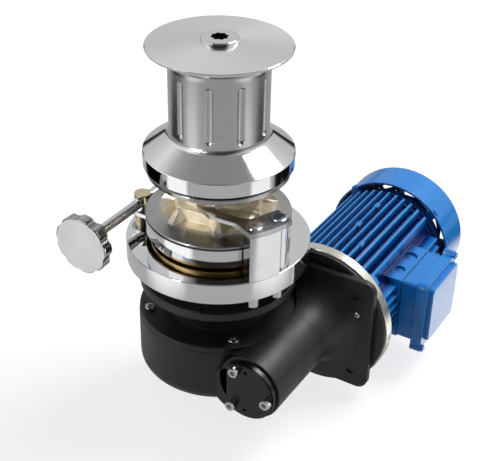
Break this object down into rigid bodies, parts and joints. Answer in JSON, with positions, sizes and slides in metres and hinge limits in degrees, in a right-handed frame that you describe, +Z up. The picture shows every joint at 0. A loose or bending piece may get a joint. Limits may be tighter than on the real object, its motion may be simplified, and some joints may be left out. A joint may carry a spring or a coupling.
{
  "type": "anchor windlass",
  "caption": "Vertical anchor windlass with chain wheel, band brake, warping drum, worm gearbox below deck and a flanged electric motor lying on its side.",
  "frame": {"origin": "on the spindle axis, in the underside of the base plate, which is the deck's upper face", "axes": "+Z up along the spindle; +X along the worm and motor axis, from the gearbox end cap to the motor's fan"},
  "size_m": [0.5101, 0.3587, 0.4945],
  "materials": {
    "polished_chrome": "polished",
    "satin_steel": "satin",
    "bronze": "turned",
    "stainless_fasteners": "satin",
    "black_fasteners": "black coating",
    "steel": "ground",
    "black_casting": "satin black coating on a casting",
    "black_anodised": "gloss black",
    "machined_aluminium": "machined",
    "blue_paint": "gloss paint",
    "black_rubber": "matte",
    "friction_lining": "matte",
    "copper_winding": "varnished",
    "black_plastic": "matte"
  },
  "bodies": {
    "base": {"base_plate": "polished_chrome", "stripper_post": "polished_chrome", "chain_stripper": "polished_chrome", "brake_band": "polished_chrome", "brake_trunnion_near": "bronze", "base_bush": "bronze", "deck_studs": "black_fasteners", "stud_nuts": "black_fasteners", "stripper_screws": "stainless_fasteners", "cup_washers": "stainless_fasteners", "dome_nuts": "stainless_fasteners", "cover_screws": "stainless_fasteners", "end_cap_screws": "stainless_fasteners", "flange_bolts": "stainless_fasteners", "cowl_screws": "stainless_fasteners", "lid_screws": "stainless_fasteners", "oil_plug": "stainless_fasteners", "stator_core": "steel", "shaft_bearing_lower": "steel", "shaft_bearing_upper": "steel", "worm_bearing_front": "steel", "worm_bearing_rear": "steel", "motor_bearing_front": "steel", "motor_bearing_rear": "steel", "gearbox_flange": "black_casting", "gearbox_cover": "black_casting", "gearbox_casing": "black_casting", "motor_adapter": "black_casting", "worm_end_cap": "black_anodised", "motor_flange": "machined_aluminium", "motor_frame": "blue_paint", "rear_end_shield": "blue_paint", "fan_cowl": "blue_paint", "terminal_box": "blue_paint", "terminal_lid": "blue_paint", "base_seal": "black_rubber", "shaft_seal": "black_rubber", "worm_seal": "black_rubber", "brake_lining": "friction_lining", "stator_windings": "copper_winding", "terminal_board": "black_plastic"},
    "worm": {"worm_shaft": "steel", "motor_rotor": "machined_aluminium", "motor_shaft": "steel", "cooling_fan": "black_plastic"},
    "main_shaft": {"main_shaft": "steel", "shaft_keys": "steel", "wheel_key": "steel", "worm_wheel": "bronze", "clutch_cone_lower": "bronze"},
    "chain_wheel": {"chain_wheel": "satin_steel", "brake_drum": "bronze", "chain_wheel_bush": "bronze"},
    "drum": {"warping_drum": "polished_chrome", "clutch_cone_upper": "bronze"},
    "clutch_nut": {"drum_cap_nut": "polished_chrome"},
    "brake_screw": {"brake_rod": "polished_chrome", "brake_knob": "polished_chrome"},
    "brake_nut": {"brake_trunnion_far": "bronze"}
  },
  "joints": [
    {"name": "worm_spin", "type": "hinge", "parent": "base", "child": "worm", "pos_m": [0, -0.098, -0.114], "axis": [1, 0, 0], "continuous": true},
    {"name": "shaft_spin", "type": "hinge", "parent": "base", "child": "main_shaft", "pos_m": [0, 0, 0], "axis": [0, 0, 1], "continuous": true},
    {"name": "chain_wheel_spin", "type": "hinge", "parent": "main_shaft", "child": "chain_wheel", "pos_m": [0, 0, 0.0886], "axis": [0, 0, 1], "continuous": true},
    {"name": "drum_lift", "type": "slide", "parent": "main_shaft", "child": "drum", "axis": [0, 0, 1], "range_m": [0, 0.0018]},
    {"name": "clutch_nut_turn", "type": "hinge", "parent": "drum", "child": "clutch_nut", "pos_m": [0, 0, 0.27], "axis": [0, 0, 1], "range_deg": [0, 216]},
    {"name": "brake_screw_turn", "type": "hinge", "parent": "base", "child": "brake_screw", "pos_m": [0, 0.097, 0.051], "axis": [1, 0, 0], "range_deg": [0, 720]},
    {"name": "brake_nut_slide", "type": "slide", "parent": "base", "child": "brake_nut", "axis": [1, 0, 0], "range_m": [-0.003, 0]}
  ],
  "couplings": [
    {"joint": "shaft_spin", "follows": "worm_spin", "ratio": -0.026316},
    {"joint": "clutch_nut_turn", "follows": "drum_lift", "rad_per_m": 2094},
    {"joint": "brake_nut_slide", "follows": "brake_screw_turn", "m_per_rad": -0.00023873}
  ]
}
